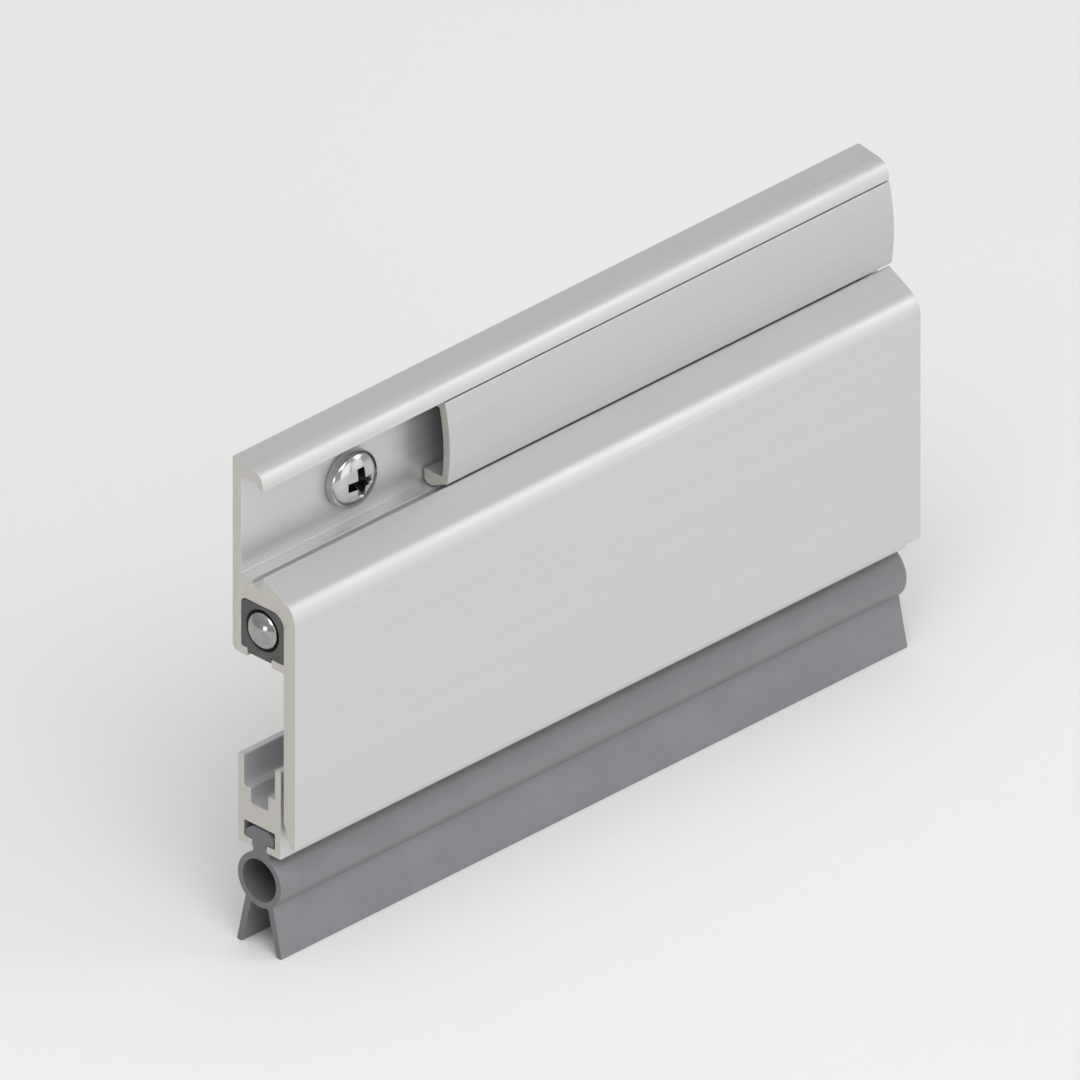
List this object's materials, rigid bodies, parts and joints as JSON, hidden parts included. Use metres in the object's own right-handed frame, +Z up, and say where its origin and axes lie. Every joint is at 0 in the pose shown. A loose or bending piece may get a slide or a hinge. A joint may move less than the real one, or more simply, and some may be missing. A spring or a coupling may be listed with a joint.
{
  "type": "automatic door bottom seal",
  "caption": "Surface-mounted automatic door bottom seal: aluminium housing with a clip-on cover strip, end plunger, leaf-spring drop bar and a finned rubber bulb.",
  "frame": {"origin": "on the mounting face, at mid-length, on the line of the two mounting screws", "axes": "+Z up, +X along the seal away from the plunger, +Y out of the mounting face towards what it is screwed to; the front looks to -Y"},
  "size_m": [0.1011, 0.0206, 0.0627],
  "materials": {
    "anodised_aluminium": "satin natural anodised extrusion",
    "grey_rubber": "smooth matt rubber",
    "bright_steel": "bright nickel plate",
    "dark_plastic": "moulded acetal",
    "pale_plastic": "moulded nylon",
    "plain_steel": "zinc plate",
    "spring_steel": "hardened strip"
  },
  "bodies": {
    "housing": {"housing": "anodised_aluminium", "cover_strip": "anodised_aluminium", "mounting_screws": "bright_steel", "plunger_guide": "dark_plastic", "spring_anchor": "pale_plastic", "anchor_rivet": "plain_steel", "anchor_grub_screw": "plain_steel", "leaf_spring": "spring_steel"},
    "drop_bar": {"drop_bar": "anodised_aluminium", "seal_gasket": "grey_rubber", "spring_shoe": "pale_plastic", "shoe_screw": "plain_steel"},
    "plunger": {"plunger_rod": "plain_steel", "rod_pin": "plain_steel", "spring_slider": "pale_plastic", "slider_rivet": "plain_steel"},
    "button": {"plunger_button": "bright_steel"}
  },
  "joints": [
    {"name": "bar_drop", "type": "slide", "parent": "housing", "child": "drop_bar", "axis": [0, 0, 1], "range_m": [0, 0.012], "stiffness_N_per_m": 417, "springref_m": 0.0144, "deforming": ["leaf_spring"]},
    {"name": "plunger_slide", "type": "slide", "parent": "housing", "child": "plunger", "axis": [-1, 0, 0], "range_m": [0, 0.0094]},
    {"name": "button_turn", "type": "hinge", "parent": "plunger", "child": "button", "pos_m": [-0.05, -0.00477, -0.01185], "axis": [-1, 0, 0], "continuous": true}
  ],
  "couplings": [
    {"joint": "plunger_slide", "follows": "bar_drop", "ratio": 0.78333}
  ]
}
